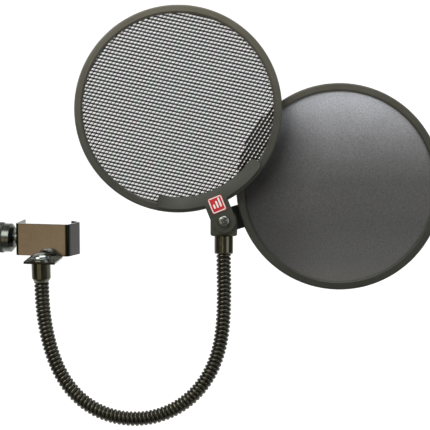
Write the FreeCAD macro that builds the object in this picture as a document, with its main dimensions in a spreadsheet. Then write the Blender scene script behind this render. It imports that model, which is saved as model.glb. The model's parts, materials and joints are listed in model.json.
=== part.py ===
import FreeCAD, Part
import math
import os

from FreeCAD import Placement, Rotation, Vector

# Clamp-mounted pop filter: a metal-mesh disc and a fabric disc turn on one
# screw in a small yoke, on a gooseneck that hangs from a sheet-metal clamp.
# Row frame: +Z along the gripped stand tube, +X along the clamp screw towards
# the jaw, the clamp's web faces -Y, origin on the tube's axis in the jaw.

doc = FreeCAD.newDocument("pop_filter")
sheet = doc.addObject("Spreadsheet::Sheet", "Dims")

DIMS = [
    # clamp bracket
    ("sheet_thk", 1.5), ("web_left", -30.9), ("web_right", 9.8), ("web_front", -12.2),
    ("web_high", 24.0), ("web_mid", 0.7), ("left_deep", 22.6), ("right_run", 17.0),
    ("lip_run", 10.0),
    ("tab_wide", 24.0), ("tab_mid", -6.85), ("tab_deep", 21.0), ("tab_drop", 0.0),
    ("tab_slope", 0.0733), ("thread_rad", 3.0), ("thread_hole", 3.05),
    # clamp screw and knob
    ("nut_thk", 2.2), ("nut_rad", 6.0), ("collar_end", -34.7), ("collar_taper", 2.6),
    ("collar_small", 7.4), ("collar_rad", 10.8), ("collar_len", 8.1), ("knob_rad", 11.5),
    ("knob_len", 14.0), ("knob_bevel", 1.2), ("pad_face", -10.5), ("pad_thk", 4.5),
    ("pad_rad", 5.5), ("pad_sink", 2.6), ("shaft_tip", -12.7),
    # tab screw and base ferrule
    ("tabscrew_hole", 2.6), ("tabscrew_rad", 2.5), ("tabscrew_long", 11.0),
    ("dome_rad", 7.0), ("dome_high", 4.2), ("flange_rad", 7.9), ("tabwasher_rad", 9.5), ("tabwasher_thk", 0.9),
    ("base_rad", 7.1), ("base_long", 15.4), ("base_taper", 3.0), ("base_neck", 5.3),
    # gooseneck
    ("link_len", 18.738), ("link_rad", 5.3), ("ball_rad", 5.2), ("socket_rad", 5.3),
    ("link_gap", 1.8),
    # top ferrule and yoke
    ("top_rad", 7.05), ("top_start", -24.55), ("top_end", -11.2), ("top_round", 1.0),
    ("yoke_wide", 20.0), ("yoke_thk", 1.5), ("yoke_deep", 12.4), ("yoke_foot", 11.2),
    ("pin_rad", 2.5), ("pin_hole", 2.55), ("swing_hole", 2.58), ("spacer_rad", 4.5),
    ("yokescrew_rad", 2.0), ("yokescrew_hole", 2.05), ("yokescrew_long", 7.0),
    ("yokehead_rad", 3.6), ("yokehead_high", 2.0),
    ("washer_rad", 6.0), ("washer_thk", 0.8), ("swing_gap", 0.3),
    ("head_rad", 4.25), ("head_high", 2.6), ("hexnut_rad", 4.6), ("hexnut_high", 4.0),
    # the two discs
    ("arm_len", 90.8), ("rim_out", 77.7), ("rim_in", 71.5), ("rim_thk", 5.0),
    ("rim_near", 2.3), ("rim_round", 1.2), ("rim_bevel", 1.3), ("seat_rad", 73.3),
    ("sheet_rad", 73.2), ("mesh_thk", 0.6), ("cloth_thk", 0.5), ("seat_slack", 0.05),
    ("plate_thk", 1.5), ("plate_in", 66.0), ("plate_out", 75.4), ("plate_span", 69.0),
    ("plate_round", 3.6),
    ("tongue_wide", 17.9), ("badge_wide", 11.0), ("badge_long", 12.0),
    ("badge_mid", 13.6), ("badge_thk", 0.4), ("badge_round", 0.8),
]
for row, (name, value) in enumerate(DIMS, start=1):
    sheet.set("A%d" % row, name)
    sheet.set("B%d" % row, repr(value))
    sheet.setAlias("B%d" % row, name)
doc.recompute()


class Q:
    """A number together with the spreadsheet expression that drives it."""

    def __init__(self, val, ex):
        self.val = val
        self.ex = ex

    def _op(self, other, sign, flip=False):
        o = other if isinstance(other, Q) else Q(float(other), "(%r)" % float(other))
        a, b = (o, self) if flip else (self, o)
        val = {"+": a.val + b.val, "-": a.val - b.val, "*": a.val * b.val,
               "/": a.val / b.val if b.val else 0.0}[sign]
        return Q(val, "(%s %s %s)" % (a.ex, sign, b.ex))

    def __add__(self, o): return self._op(o, "+")
    def __radd__(self, o): return self._op(o, "+", True)
    def __sub__(self, o): return self._op(o, "-")
    def __rsub__(self, o): return self._op(o, "-", True)
    def __mul__(self, o): return self._op(o, "*")
    def __rmul__(self, o): return self._op(o, "*", True)
    def __truediv__(self, o): return self._op(o, "/")
    def __neg__(self): return self._op(-1.0, "*")


D = {name: Q(value, "Dims.%s" % name) for name, value in DIMS}


def num(q):
    return q.val if isinstance(q, Q) else float(q)


def bind(obj, prop, q):
    if isinstance(q, Q):
        obj.setExpression(prop, q.ex)


def move(obj, pos, rot=None):
    obj.Placement = Placement(Vector(*[num(p) for p in pos]), rot or Rotation())
    for axis, p in zip("xyz", pos):
        bind(obj, "Placement.Base.%s" % axis, p)


serial = [0]


def fresh(stem):
    serial[0] += 1
    return "%s_%03d" % (stem, serial[0])


def cyl(r, h, pos=(0, 0, 0), rot=None, angle=None):
    o = doc.addObject("Part::Cylinder", fresh("cyl"))
    o.Radius, o.Height = num(r), num(h)
    bind(o, "Radius", r)
    bind(o, "Height", h)
    if angle is not None:
        o.Angle = num(angle)
        bind(o, "Angle", angle)
    move(o, pos, rot)
    return o


def cone(r1, r2, h, pos=(0, 0, 0), rot=None):
    o = doc.addObject("Part::Cone", fresh("cone"))
    o.Radius1, o.Radius2, o.Height = num(r1), num(r2), num(h)
    bind(o, "Radius1", r1)
    bind(o, "Radius2", r2)
    bind(o, "Height", h)
    move(o, pos, rot)
    return o


def ball(r, pos=(0, 0, 0)):
    o = doc.addObject("Part::Sphere", fresh("ball"))
    o.Radius = num(r)
    bind(o, "Radius", r)
    move(o, pos)
    return o


def block(l, w, h, pos=(0, 0, 0)):
    o = doc.addObject("Part::Box", fresh("block"))
    o.Length, o.Width, o.Height = num(l), num(w), num(h)
    bind(o, "Length", l)
    bind(o, "Width", w)
    bind(o, "Height", h)
    move(o, pos)
    return o


def hexagon(r, h, pos=(0, 0, 0)):
    o = doc.addObject("Part::Prism", fresh("hex"))
    o.Polygon, o.Circumradius, o.Height = 6, num(r), num(h)
    bind(o, "Circumradius", r)
    bind(o, "Height", h)
    move(o, pos)
    return o


def fuse(*parts):
    o = doc.addObject("Part::MultiFuse", fresh("fuse"))
    o.Shapes = list(parts)
    o.Refine = True
    return o


def cut(base, *tools):
    o = base
    for tool in tools:
        c = doc.addObject("Part::Cut", fresh("cut"))
        c.Base, c.Tool = o, tool
        c.Refine = True
        o = c
    return o


def rounded(obj, radius, wanted):
    """Fillet the edges of a Part object that the test picks."""
    doc.recompute()
    picks = [(i, radius, radius) for i, e in enumerate(obj.Shape.Edges, start=1) if wanted(e)]
    o = doc.addObject("Part::Fillet", fresh("round"))
    o.Base = obj
    o.Edges = picks
    return o


def plane_of(body, role):
    for f in body.Origin.OriginFeatures:
        if f.Role == role:
            return f
    raise RuntimeError("no plane " + role)


def polygon_sketch(body, role, points, offset=None):
    """A closed polygon whose corners are all held by spreadsheet expressions."""
    sk = doc.addObject("Sketcher::SketchObject", fresh("sketch"))
    body.addObject(sk)
    sk.AttachmentSupport = [(plane_of(body, role), "")]
    sk.MapMode = "FlatFace"
    if offset is not None:
        sk.AttachmentOffset = Placement(Vector(0, 0, num(offset)), Rotation())
        bind(sk, "AttachmentOffset.Base.z", offset)
    import Sketcher
    flat = [Vector(num(x), num(y), 0) for x, y in points]
    n = len(flat)
    for i in range(n):
        sk.addGeometry(Part.LineSegment(flat[i], flat[(i + 1) % n]), False)
    for i in range(n):
        sk.addConstraint(Sketcher.Constraint("Coincident", i, 2, (i + 1) % n, 1))
    for i, (x, y) in enumerate(points):
        for kind, q in (("DistanceX", x), ("DistanceY", y)):
            k = sk.addConstraint(Sketcher.Constraint(kind, -1, 1, i, 1, num(q)))
            bind(sk, "Constraints[%d]" % k, q)
    doc.recompute()
    return sk


def new_body(label):
    b = doc.addObject("PartDesign::Body", fresh("body"))
    b.Label = label
    return b


def revolve(label, points, role="XZ_Plane", axis="V_Axis"):
    """A ring or turned piece: polygon (radius, height) about the body's Z axis."""
    b = new_body(label)
    sk = polygon_sketch(b, role, points)
    r = doc.addObject("PartDesign::Revolution", fresh("turned"))
    b.addObject(r)
    r.Profile = sk
    r.ReferenceAxis = (sk, [axis])
    r.Angle = 360.0
    b.Tip = r
    doc.recompute()
    return b


nodes = []


def keep(obj, label, place=None):
    obj.Label = label
    if place is not None:
        for axis in "xyz":
            obj.setExpression("Placement.Base.%s" % axis, None)
        obj.Placement = place * obj.Placement
    nodes.append(obj)
    return obj


def is_vertical(e, x, y, tol=0.2):
    a, b = e.Vertexes[0].Point, e.Vertexes[-1].Point
    return (abs(a.x - b.x) < 1e-6 and abs(a.y - b.y) < 1e-6 and abs(a.z - b.z) > 1
            and abs(a.x - x) < tol and abs(a.y - y) < tol)


# ---------------------------------------------------------------- clamp bracket
t = D["sheet_thk"]
xl, xr, yf = D["web_left"], D["web_right"], D["web_front"]
yb = yf + D["left_deep"]
s18, c18 = math.sin(math.radians(18)), math.cos(math.radians(18))
s49, c49 = math.sin(math.radians(49)), math.cos(math.radians(49))
vx, vy = xr + D["right_run"] * s18, yf + D["right_run"] * c18
ex, ey = vx - D["lip_run"] * s49, vy + D["lip_run"] * c49
turn = math.tan(math.radians(33.5))
profile = [
    (xl, yb), (xl, yf), (xr, yf), (vx, vy), (ex, ey),
    (ex - t * c49, ey - t * s49),
    (vx - t * (c18 + turn * s18), vy + t * (s18 - turn * c18)),
    (xr - t * math.tan(math.radians(36)), yf + t),
    (xl + t, yf + t), (xl + t, yb),
]
bracket = new_body("clamp_bracket")
sk = polygon_sketch(bracket, "XY_Plane", profile, offset=D["web_mid"])
pad = doc.addObject("PartDesign::Pad", "web_pad")
bracket.addObject(pad)
pad.Profile = sk
pad.Midplane = True
pad.Length = num(D["web_high"])
bind(pad, "Length", D["web_high"])
bracket.Tip = pad
doc.recompute()

# the tab: sheet turned forward from the web's lower edge, falling to the front
zb = D["web_mid"] - D["web_high"] / 2
slope = D["tab_slope"]
tab_pts = [
    (yf, zb + 0.6), (yf, zb - D["tab_drop"]),
    (yf - D["tab_deep"], zb - D["tab_drop"] - D["tab_deep"] * slope),
    (yf - D["tab_deep"], zb - D["tab_drop"] - D["tab_deep"] * slope - t),
    (yf + t, zb - D["tab_drop"] - t + t * slope), (yf + t, zb + 0.6),
]
tsk = polygon_sketch(bracket, "YZ_Plane", tab_pts, offset=D["tab_mid"])
tab = doc.addObject("PartDesign::Pad", "tab_pad")
bracket.addObject(tab)
tab.Profile = tsk
tab.Midplane = True
tab.Length = num(D["tab_wide"])
bind(tab, "Length", D["tab_wide"])
bracket.Tip = tab
doc.recompute()


def edge_names(shape, test):
    return ["Edge%d" % i for i, e in enumerate(shape.Edges, start=1) if test(e)]


def fillet(body, last, names, radius):
    f = doc.addObject("PartDesign::Fillet", fresh("bend"))
    body.addObject(f)
    f.Base = (last, names)
    f.Radius = radius
    body.Tip = f
    doc.recompute()
    return f


outer = edge_names(tab.Shape, lambda e: is_vertical(e, num(xl), num(yf)) or is_vertical(e, num(vx), num(vy)))
last = fillet(bracket, tab, outer, 2.2)
last = fillet(bracket, last, edge_names(last.Shape, lambda e: is_vertical(e, num(xr), num(yf))), 3.1)
inner = edge_names(last.Shape, lambda e: is_vertical(e, num(xl) + 1.5, num(yf) + 1.5)
                   or is_vertical(e, num(profile[6][0]), num(profile[6][1])))
last = fillet(bracket, last, inner, 0.8)
last = fillet(bracket, last, edge_names(last.Shape, lambda e: is_vertical(e, num(profile[7][0]), num(profile[7][1]))), 1.6)


def tab_edges(e):
    a, b = e.Vertexes[0].Point, e.Vertexes[-1].Point
    low = num(tab_pts[4][1])
    long_x = abs(a.x - b.x) > 15 and abs(a.y - b.y) < 1e-6
    return long_x and abs(a.y - (num(yf) + 1.5)) < 0.01 and abs(a.z - low) < 0.01


last = fillet(bracket, last, edge_names(last.Shape, tab_edges), 1.3)


def tab_corners(e):
    a, b = e.Vertexes[0].Point, e.Vertexes[-1].Point
    return (abs(a.x - b.x) < 1e-6 and abs(a.y - b.y) < 1e-6 and abs(abs(a.z - b.z) - 1.5) < 0.01
            and abs(a.y - (num(yf) - 21.0)) < 0.01)


last = fillet(bracket, last, edge_names(last.Shape, tab_corners), 0.7)

# the plain hole for the screw in the left flange, and the tab's screw hole,
# square to the tab
NECK_START = Vector(-8.20, -22.15, -29.12)
TAB_TILT = math.degrees(math.atan(num(slope)))
up = Vector(0, -math.sin(math.radians(TAB_TILT)), math.cos(math.radians(TAB_TILT)))
surface = num(zb) - num(D["tab_drop"]) - (num(yf) - NECK_START.y) * num(slope)
TAB_TOP = NECK_START + up * ((surface - NECK_START.z) / (up.z - up.y * num(slope)))


def through(body, last, role, centre, radius, offset):
    import Sketcher
    s = doc.addObject("Sketcher::SketchObject", fresh("hole_sketch"))
    body.addObject(s)
    s.AttachmentSupport = [(plane_of(body, role), "")]
    s.MapMode = "FlatFace"
    s.AttachmentOffset = Placement(Vector(0, 0, offset), Rotation())
    s.addGeometry(Part.Circle(Vector(centre[0], centre[1], 0), Vector(0, 0, 1), num(radius)), False)
    s.addConstraint(Sketcher.Constraint("DistanceX", -1, 1, 0, 3, centre[0]))
    s.addConstraint(Sketcher.Constraint("DistanceY", -1, 1, 0, 3, centre[1]))
    k = s.addConstraint(Sketcher.Constraint("Radius", 0, num(radius)))
    bind(s, "Constraints[%d]" % k, radius)
    p = doc.addObject("PartDesign::Pocket", fresh("hole"))
    body.addObject(p)
    p.Profile = s
    p.Midplane = True
    p.Length = 8.0
    body.Tip = p
    doc.recompute()
    return p


before = last.Shape.Volume
last = through(bracket, last, "YZ_Plane", (0.0, 0.0), D["thread_hole"], num(xl) + 0.75)
if not last.Shape.Volume < before - 30:
    raise RuntimeError("the flange hole cut nothing")
before = last.Shape.Volume
last = through(bracket, last, "XY_Plane", (TAB_TOP.x, TAB_TOP.y + 0.055), D["tabscrew_hole"], TAB_TOP.z - 0.75)
if not last.Shape.Volume < before - 20:
    raise RuntimeError("the tab hole cut nothing")
keep(bracket, "clamp_bracket")

ALONG_X = Rotation(Vector(0, 1, 0), 90)

# ------------------------------------------------------- clamp screw and its pad
nut = cut(cyl(D["nut_rad"], D["nut_thk"]), cyl(D["thread_hole"], D["nut_thk"] + 2, (0, 0, -1)))
keep(nut, "clamp_nut", Placement(Vector(num(xl) - num(D["nut_thk"]), 0, 0), ALONG_X))

shaft = cyl(D["thread_rad"], D["shaft_tip"] - D["collar_end"])
keep(shaft, "clamp_screw_shaft", Placement(Vector(num(D["collar_end"]), 0, 0), ALONG_X))

collar = revolve("knob_collar", [
    (0, 0), (D["collar_small"], 0), (D["collar_rad"], -D["collar_taper"]),
    (D["collar_rad"], -D["collar_len"]), (0, -D["collar_len"]),
])
keep(collar, "knob_collar", Placement(Vector(num(D["collar_end"]), 0, 0), ALONG_X))

bev = D["knob_bevel"]
head = revolve("knob_head", [
    (0, 0), (D["knob_rad"] - bev * 0.6, 0), (D["knob_rad"], -(bev * 0.6)),
    (D["knob_rad"], bev - D["knob_len"]), (D["knob_rad"] - bev, -D["knob_len"]),
    (0, -D["knob_len"]),
])
keep(head, "knob_head",
     Placement(Vector(num(D["collar_end"]) - num(D["collar_len"]), 0, 0), ALONG_X))

cup = revolve("pressure_pad", [
    (0, 0), (D["pad_rad"] - 0.7, 0), (D["pad_rad"], -0.7), (D["pad_rad"], 0.5 - D["pad_thk"]),
    (D["pad_rad"] - 0.5, -D["pad_thk"]), (D["thread_hole"], -D["pad_thk"]),
    (D["thread_hole"], D["pad_sink"] - D["pad_thk"]), (0, D["pad_sink"] - D["pad_thk"]),
])
keep(cup, "pressure_pad", Placement(Vector(num(D["pad_face"]), 0, 0), ALONG_X))

# ------------------------------------------------------ tab screw and base ferrule
TAB_ROT = Rotation(Vector(1, 0, 0), TAB_TILT)
washer = cut(cyl(D["tabwasher_rad"], D["tabwasher_thk"]),
             cyl(D["tabscrew_hole"], D["tabwasher_thk"] + 2, (0, 0, -1)))
keep(washer, "tab_washer", Placement(TAB_TOP, TAB_ROT))

w0 = D["tabwasher_thk"]
dome = revolve("tab_screw", [
    (0, w0 + D["dome_high"]), (0, -D["tabscrew_long"]), (D["tabscrew_rad"], -D["tabscrew_long"]),
    (D["tabscrew_rad"], w0), (D["flange_rad"], w0), (D["flange_rad"], w0 + 0.7), (D["dome_rad"], w0 + 1.0),
    (D["dome_rad"] * 0.99, w0 + D["dome_high"] * 0.3),
    (D["dome_rad"] * 0.93, w0 + D["dome_high"] * 0.48), (D["dome_rad"] * 0.77, w0 + D["dome_high"] * 0.72),
    (D["dome_rad"] * 0.52, w0 + D["dome_high"] * 0.9), (D["dome_rad"] * 0.24, w0 + D["dome_high"] * 0.985),
])
keep(dome, "tab_screw", Placement(TAB_TOP, TAB_ROT))

foot = -(t + D["base_long"])
bore = D["tabscrew_hole"]
ferrule = revolve("base_ferrule", [
    (bore, -t), (D["base_rad"], -t), (D["base_rad"], foot + D["base_taper"]),
    (D["base_rad"] - 0.6, foot + D["base_taper"] * 0.6), (D["base_neck"], foot), (0, foot),
    (0, -(D["tabscrew_long"] + 1.0)), (bore, -(D["tabscrew_long"] + 1.0)),
])
keep(ferrule, "base_ferrule", Placement(TAB_TOP, TAB_ROT))

# ---------------------------------------------------------------------- gooseneck
NECK = [
    (-8.20, -22.15, -29.12), (-7.78, -20.78, -47.80), (-5.55, -19.79, -66.38),
    (-1.10, -19.06, -84.57), (6.37, -18.16, -101.73), (17.78, -16.66, -116.52),
    (32.99, -14.33, -127.22), (50.67, -11.17, -132.54), (69.02, -7.37, -132.43),
    (86.42, -3.17, -126.90), (101.27, 1.13, -116.32), (112.34, 5.24, -101.76),
    (119.12, 8.91, -84.69), (122.14, 12.02, -66.46), (122.79, 14.64, -47.91),
    (122.38, 16.99, -29.33), (121.78, 19.48, -10.76),
]
count = len(NECK) - 1
for i in range(count):
    a, b = Vector(*NECK[i]), Vector(*NECK[i + 1])
    first, final = i == 0, i == count - 1
    start = 0.0 if first else D["link_gap"]
    stop = D["link_len"]
    solid = cyl(D["link_rad"], stop - start, (0, 0, start))
    if not final:
        solid = fuse(cyl(D["link_rad"], stop - start - 0.9, (0, 0, start)),
                     cone(D["link_rad"], D["ball_rad"] - 0.09, 0.9, (0, 0, stop - 0.9)),
                     ball(D["ball_rad"], (0, 0, stop)))
    if not first:
        solid = cut(solid, ball(D["socket_rad"]))
    keep(solid, "gooseneck_link_%02d" % (i + 1),
         Placement(a, Rotation(Vector(0, 0, 1), b - a)))

# -------------------------------------------------- hinge: flat frame at the screw
# flat x runs to the right, y up the gooseneck's end, z towards the speaker's side
HINGE = Vector(121.16, 22.67, 13.62)
FLAT = Rotation(Vector(0, 0, 1), 11.0) * Rotation(Vector(1, 0, 0), 82.4)
HP = Placement(HINGE, FLAT)
UP_Y = Rotation(Vector(1, 0, 0), -90)

top = cut(
    rounded(cyl(D["top_rad"], D["top_end"] - D["top_start"]), num(D["top_round"]),
            lambda e: e.Curve.TypeId == "Part::GeomCircle" and abs(e.Curve.Center.z) < 1e-6),
    cyl(D["yokescrew_hole"], D["yokescrew_long"] + 1.0, (0, 0, D["top_end"] - D["top_start"] - D["yokescrew_long"])),
)
keep(top, "top_ferrule", HP * Placement(Vector(0, num(D["top_start"]), 0), UP_Y))

wide, deep, yt = D["yoke_wide"], D["yoke_deep"], D["yoke_thk"]
u_blank = rounded(
    fuse(block(wide, D["yoke_foot"], deep, (-wide / 2, -D["yoke_foot"], -deep / 2)),
         cyl(wide / 2, deep, (0, 0, -deep / 2))),
    2.0,
    lambda e: abs(e.CenterOfMass.y + 11.2) < 1e-3 and e.BoundBox.YLength < 1e-3,
)
yoke = cut(
    u_blank,
    block(wide + 4, D["yoke_foot"] - yt + wide, deep - yt * 2, (-wide / 2 - 2, yt - D["yoke_foot"], yt - deep / 2)),
    cyl(D["pin_hole"], deep + 4, (0, 0, -deep / 2 - 2)),
    cyl(D["yokescrew_hole"], yt + 4, (0, -D["yoke_foot"] - 2, 0), UP_Y),
)
keep(yoke, "hinge_yoke", HP)

yscrew = fuse(cyl(D["yokescrew_rad"], D["yokescrew_long"] - 1.0 + yt, (0, 0, 1.0 - D["yokescrew_long"])),
              cyl(D["yokehead_rad"], D["yokehead_high"], (0, 0, yt)))
keep(yscrew, "yoke_screw", HP * Placement(Vector(0, -num(D["yoke_foot"]), 0), UP_Y))

spacer = cut(cyl(D["spacer_rad"], deep - yt * 2, (0, 0, yt - deep / 2)),
             cyl(D["pin_hole"], deep + 4, (0, 0, -deep / 2 - 2)))
keep(spacer, "hinge_spacer", HP)


def ring(label, z0, thick):
    o = cut(cyl(D["washer_rad"], thick, (0, 0, z0)), cyl(D["pin_hole"], thick + 2, (0, 0, z0 - 1)))
    keep(o, label, HP)


ring("front_washer", deep / 2, D["washer_thk"])
ring("rear_washer", -deep / 2 - D["washer_thk"], D["washer_thk"])
face = deep / 2 + D["washer_thk"] + D["swing_gap"]
seat = face + D["plate_thk"] + D["swing_gap"]
ring("nut_washer", -seat - D["washer_thk"], D["washer_thk"])

hh = D["head_high"]
tail = -(seat + D["washer_thk"] + D["hexnut_high"] + 0.8)
pin = revolve("hinge_screw_turned", [
    (0, tail), (D["pin_rad"] - 0.5, tail), (D["pin_rad"], tail + 0.5), (D["pin_rad"], seat),
    (D["head_rad"], seat), (D["head_rad"], seat + hh * 0.42), (D["head_rad"] * 0.92, seat + hh * 0.68),
    (D["head_rad"] * 0.72, seat + hh * 0.88), (D["head_rad"] * 0.42, seat + hh), (0, seat + hh),
])
top_z = seat + hh
cross = fuse(block(5.4, 1.0, 2.0, (-2.7, -0.5, top_z - 1.3)), block(1.0, 5.4, 2.0, (-0.5, -2.7, top_z - 1.3)))
cross.Placement = Placement(Vector(0, 0, 0), Rotation(Vector(0, 0, 1), -28))
keep(cut(pin, cross), "hinge_screw", HP)

hexn = cut(hexagon(D["hexnut_rad"], D["hexnut_high"], (0, 0, -seat - D["washer_thk"] - D["hexnut_high"])),
           cyl(D["pin_hole"], D["hexnut_high"] + 4, (0, 0, -seat - D["washer_thk"] - D["hexnut_high"] - 2)))
keep(hexn, "hinge_nut", HP)

# ---------------------------------------------------------------------- the discs
METAL_TILT, CLOTH_TILT = 22.1, -73.2
MP = Placement(HINGE, FLAT * Rotation(Vector(0, 0, 1), METAL_TILT))
CP = Placement(HINGE, FLAT * Rotation(Vector(0, 0, 1), CLOTH_TILT))
RING = Placement(Vector(0, num(D["arm_len"]), 0), Rotation())


def disc_set(stem, sheet_name, sheet_thk, place, side):
    """side +1: the near disc, plate on its near face. -1: the far one."""
    near, thk = D["rim_near"], D["rim_thk"]
    rd, bv = D["rim_round"], D["rim_bevel"]
    z_lo = near if side > 0 else -(near + thk)
    mid = z_lo + thk / 2
    half = sheet_thk / 2 + D["seat_slack"]
    rim = revolve(stem + "_rim", [
        (D["rim_in"] + bv, z_lo + thk), (D["rim_out"] - rd, z_lo + thk),
        (D["rim_out"] - rd * 0.3, z_lo + thk - rd * 0.3), (D["rim_out"], z_lo + thk - rd),
        (D["rim_out"], z_lo + rd), (D["rim_out"] - rd * 0.3, z_lo + rd * 0.3),
        (D["rim_out"] - rd, z_lo), (D["rim_in"] + bv, z_lo), (D["rim_in"], z_lo + bv),
        (D["rim_in"], mid - half), (D["seat_rad"], mid - half),
        (D["seat_rad"], mid + half), (D["rim_in"], mid + half), (D["rim_in"], z_lo + thk - bv),
    ])
    keep(rim, stem + "_rim", place * RING)
    flat = cyl(D["sheet_rad"], sheet_thk, (0, 0, mid - sheet_thk / 2))
    keep(flat, sheet_name, place * RING)

    p0 = (near + thk) if side > 0 else -(near + thk + D["plate_thk"])
    pt = D["plate_thk"]
    span, arm = D["plate_span"], D["arm_len"]
    turned = Rotation(Vector(0, 0, 1), 270.0 - num(span) / 2)
    far = math.radians(270.0 + num(span) / 2)
    ends = [Vector(r * math.cos(far), num(arm) + r * math.sin(far), 0)
            for r in (num(D["plate_out"]), num(D["plate_in"]))]
    sector = rounded(
        cut(cyl(D["plate_out"], pt, (0, arm, p0), turned, span),
            cyl(D["plate_in"], pt + 2, (0, arm, p0 - 1))),
        num(D["plate_round"]),
        lambda e: e.BoundBox.ZLength > 1.0 and any(
            math.hypot(e.CenterOfMass.x - c.x, e.CenterOfMass.y - c.y) < 0.05 for c in ends))
    plate = cut(
        fuse(sector,
             block(D["tongue_wide"], arm - D["plate_in"] - 5.0, pt, (-D["tongue_wide"] / 2, 0, p0)),
             cyl(D["tongue_wide"] / 2, pt, (0, 0, p0))),
        cyl(D["swing_hole"], pt + 2, (0, 0, p0 - 1)),
    )
    keep(plate, stem + "_plate", place)


disc_set("metal", "metal_mesh", D["mesh_thk"], MP, +1)
disc_set("fabric", "fabric_disc", D["cloth_thk"], CP, -1)

front = D["rim_near"] + D["rim_thk"] + D["plate_thk"]
label = rounded(
    block(D["badge_wide"], D["badge_long"], D["badge_thk"],
          (-D["badge_wide"] / 2, D["badge_mid"] - D["badge_long"] / 2, front)),
    num(D["badge_round"]),
    lambda e: e.BoundBox.ZLength > 0.1 and e.BoundBox.XLength < 1e-3 and e.BoundBox.YLength < 1e-3,
)
keep(label, "badge", MP)

# ------------------------------------------------------------------------ export
doc.recompute()
bad = [o.Label for o in doc.Objects if any(s in ("Invalid", "Error") for s in o.State)]
if bad:
    raise RuntimeError("features in error: %s" % bad)
os.makedirs("parts", exist_ok=True)
seen = set()
for obj in nodes:
    shape = obj.Shape
    if obj.Label in seen:
        raise RuntimeError("label used twice: " + obj.Label)
    seen.add(obj.Label)
    if shape.isNull() or not shape.isValid() or not shape.Solids:
        raise RuntimeError("bad shape: " + obj.Label)
    shape.exportStep("parts/%s.step" % obj.Label)
print("wrote", len(nodes), "nodes")
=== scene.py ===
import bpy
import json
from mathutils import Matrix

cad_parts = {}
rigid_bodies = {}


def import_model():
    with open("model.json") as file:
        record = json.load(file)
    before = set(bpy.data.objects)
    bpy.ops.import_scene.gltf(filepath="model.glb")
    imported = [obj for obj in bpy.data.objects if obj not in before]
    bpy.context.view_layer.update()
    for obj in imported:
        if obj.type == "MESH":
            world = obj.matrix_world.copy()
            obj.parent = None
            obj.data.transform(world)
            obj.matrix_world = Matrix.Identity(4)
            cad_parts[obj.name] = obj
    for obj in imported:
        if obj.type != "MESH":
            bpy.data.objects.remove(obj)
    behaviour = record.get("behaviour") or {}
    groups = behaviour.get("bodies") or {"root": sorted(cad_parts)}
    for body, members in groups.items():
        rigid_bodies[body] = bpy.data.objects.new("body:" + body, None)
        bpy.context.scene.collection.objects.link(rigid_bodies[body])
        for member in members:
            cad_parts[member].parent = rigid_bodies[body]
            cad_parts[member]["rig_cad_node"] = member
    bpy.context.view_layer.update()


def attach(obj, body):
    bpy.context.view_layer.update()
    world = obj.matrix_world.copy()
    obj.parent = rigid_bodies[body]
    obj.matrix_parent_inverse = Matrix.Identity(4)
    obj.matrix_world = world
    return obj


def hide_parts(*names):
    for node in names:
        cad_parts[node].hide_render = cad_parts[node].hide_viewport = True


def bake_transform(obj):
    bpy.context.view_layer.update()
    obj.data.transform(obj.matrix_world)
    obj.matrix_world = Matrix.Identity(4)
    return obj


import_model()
import bpy
import json
import math
import numpy as np
from mathutils import Matrix, Vector

# ------------------------------------------------------------------ frames
AZ, EL = math.radians(11.0), math.radians(7.6)
XC = np.array([math.cos(AZ), math.sin(AZ), 0.0])
YC = np.array([-math.sin(AZ) * math.cos(EL), math.cos(AZ) * math.cos(EL), -math.sin(EL)])
ZC = np.array([-math.sin(AZ) * math.sin(EL), math.cos(AZ) * math.sin(EL), math.cos(EL)])
ORIGIN_IN_CAMERA = np.array([-116.665, 2.661, -18.04])
HINGE = np.array([121.16, 22.67, 13.62])


def cam_to_row(a, b, c):
    q = np.array([a, b, c], float) - ORIGIN_IN_CAMERA
    return XC * q[0] + YC * q[1] + ZC * q[2]


def flat_basis(tilt_deg):
    """Columns: flat x, flat y (up the arm), flat z (towards the near side), turned in plane."""
    t = math.radians(tilt_deg)
    x, y, z = XC, ZC, -YC
    return np.stack([x * math.cos(t) + y * math.sin(t), -x * math.sin(t) + y * math.cos(t), z], axis=1)


METAL = flat_basis(22.1)
CLOTH = flat_basis(-73.2)
PLAIN = flat_basis(0.0)
ARM = 90.8


def to_row(points, basis, origin=HINGE):
    return (np.asarray(points, float) @ basis.T + origin) / 1000.0


def mesh_object(name, verts, faces, smooth=True):
    me = bpy.data.meshes.new(name)
    me.from_pydata([tuple(v) for v in verts], [], [tuple(int(i) for i in f) for f in faces])
    me.update()
    if smooth:
        me.polygons.foreach_set("use_smooth", np.ones(len(me.polygons), bool))
    o = bpy.data.objects.new(name, me)
    bpy.context.scene.collection.objects.link(o)
    return o


def uv_attr(o, name, values):
    """A per-vertex vector attribute that the shader reads for grain laid along a piece."""
    at = o.data.attributes.new(name, "FLOAT_VECTOR", "POINT")
    at.data.foreach_set("vector", np.asarray(values, np.float32).ravel())


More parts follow.
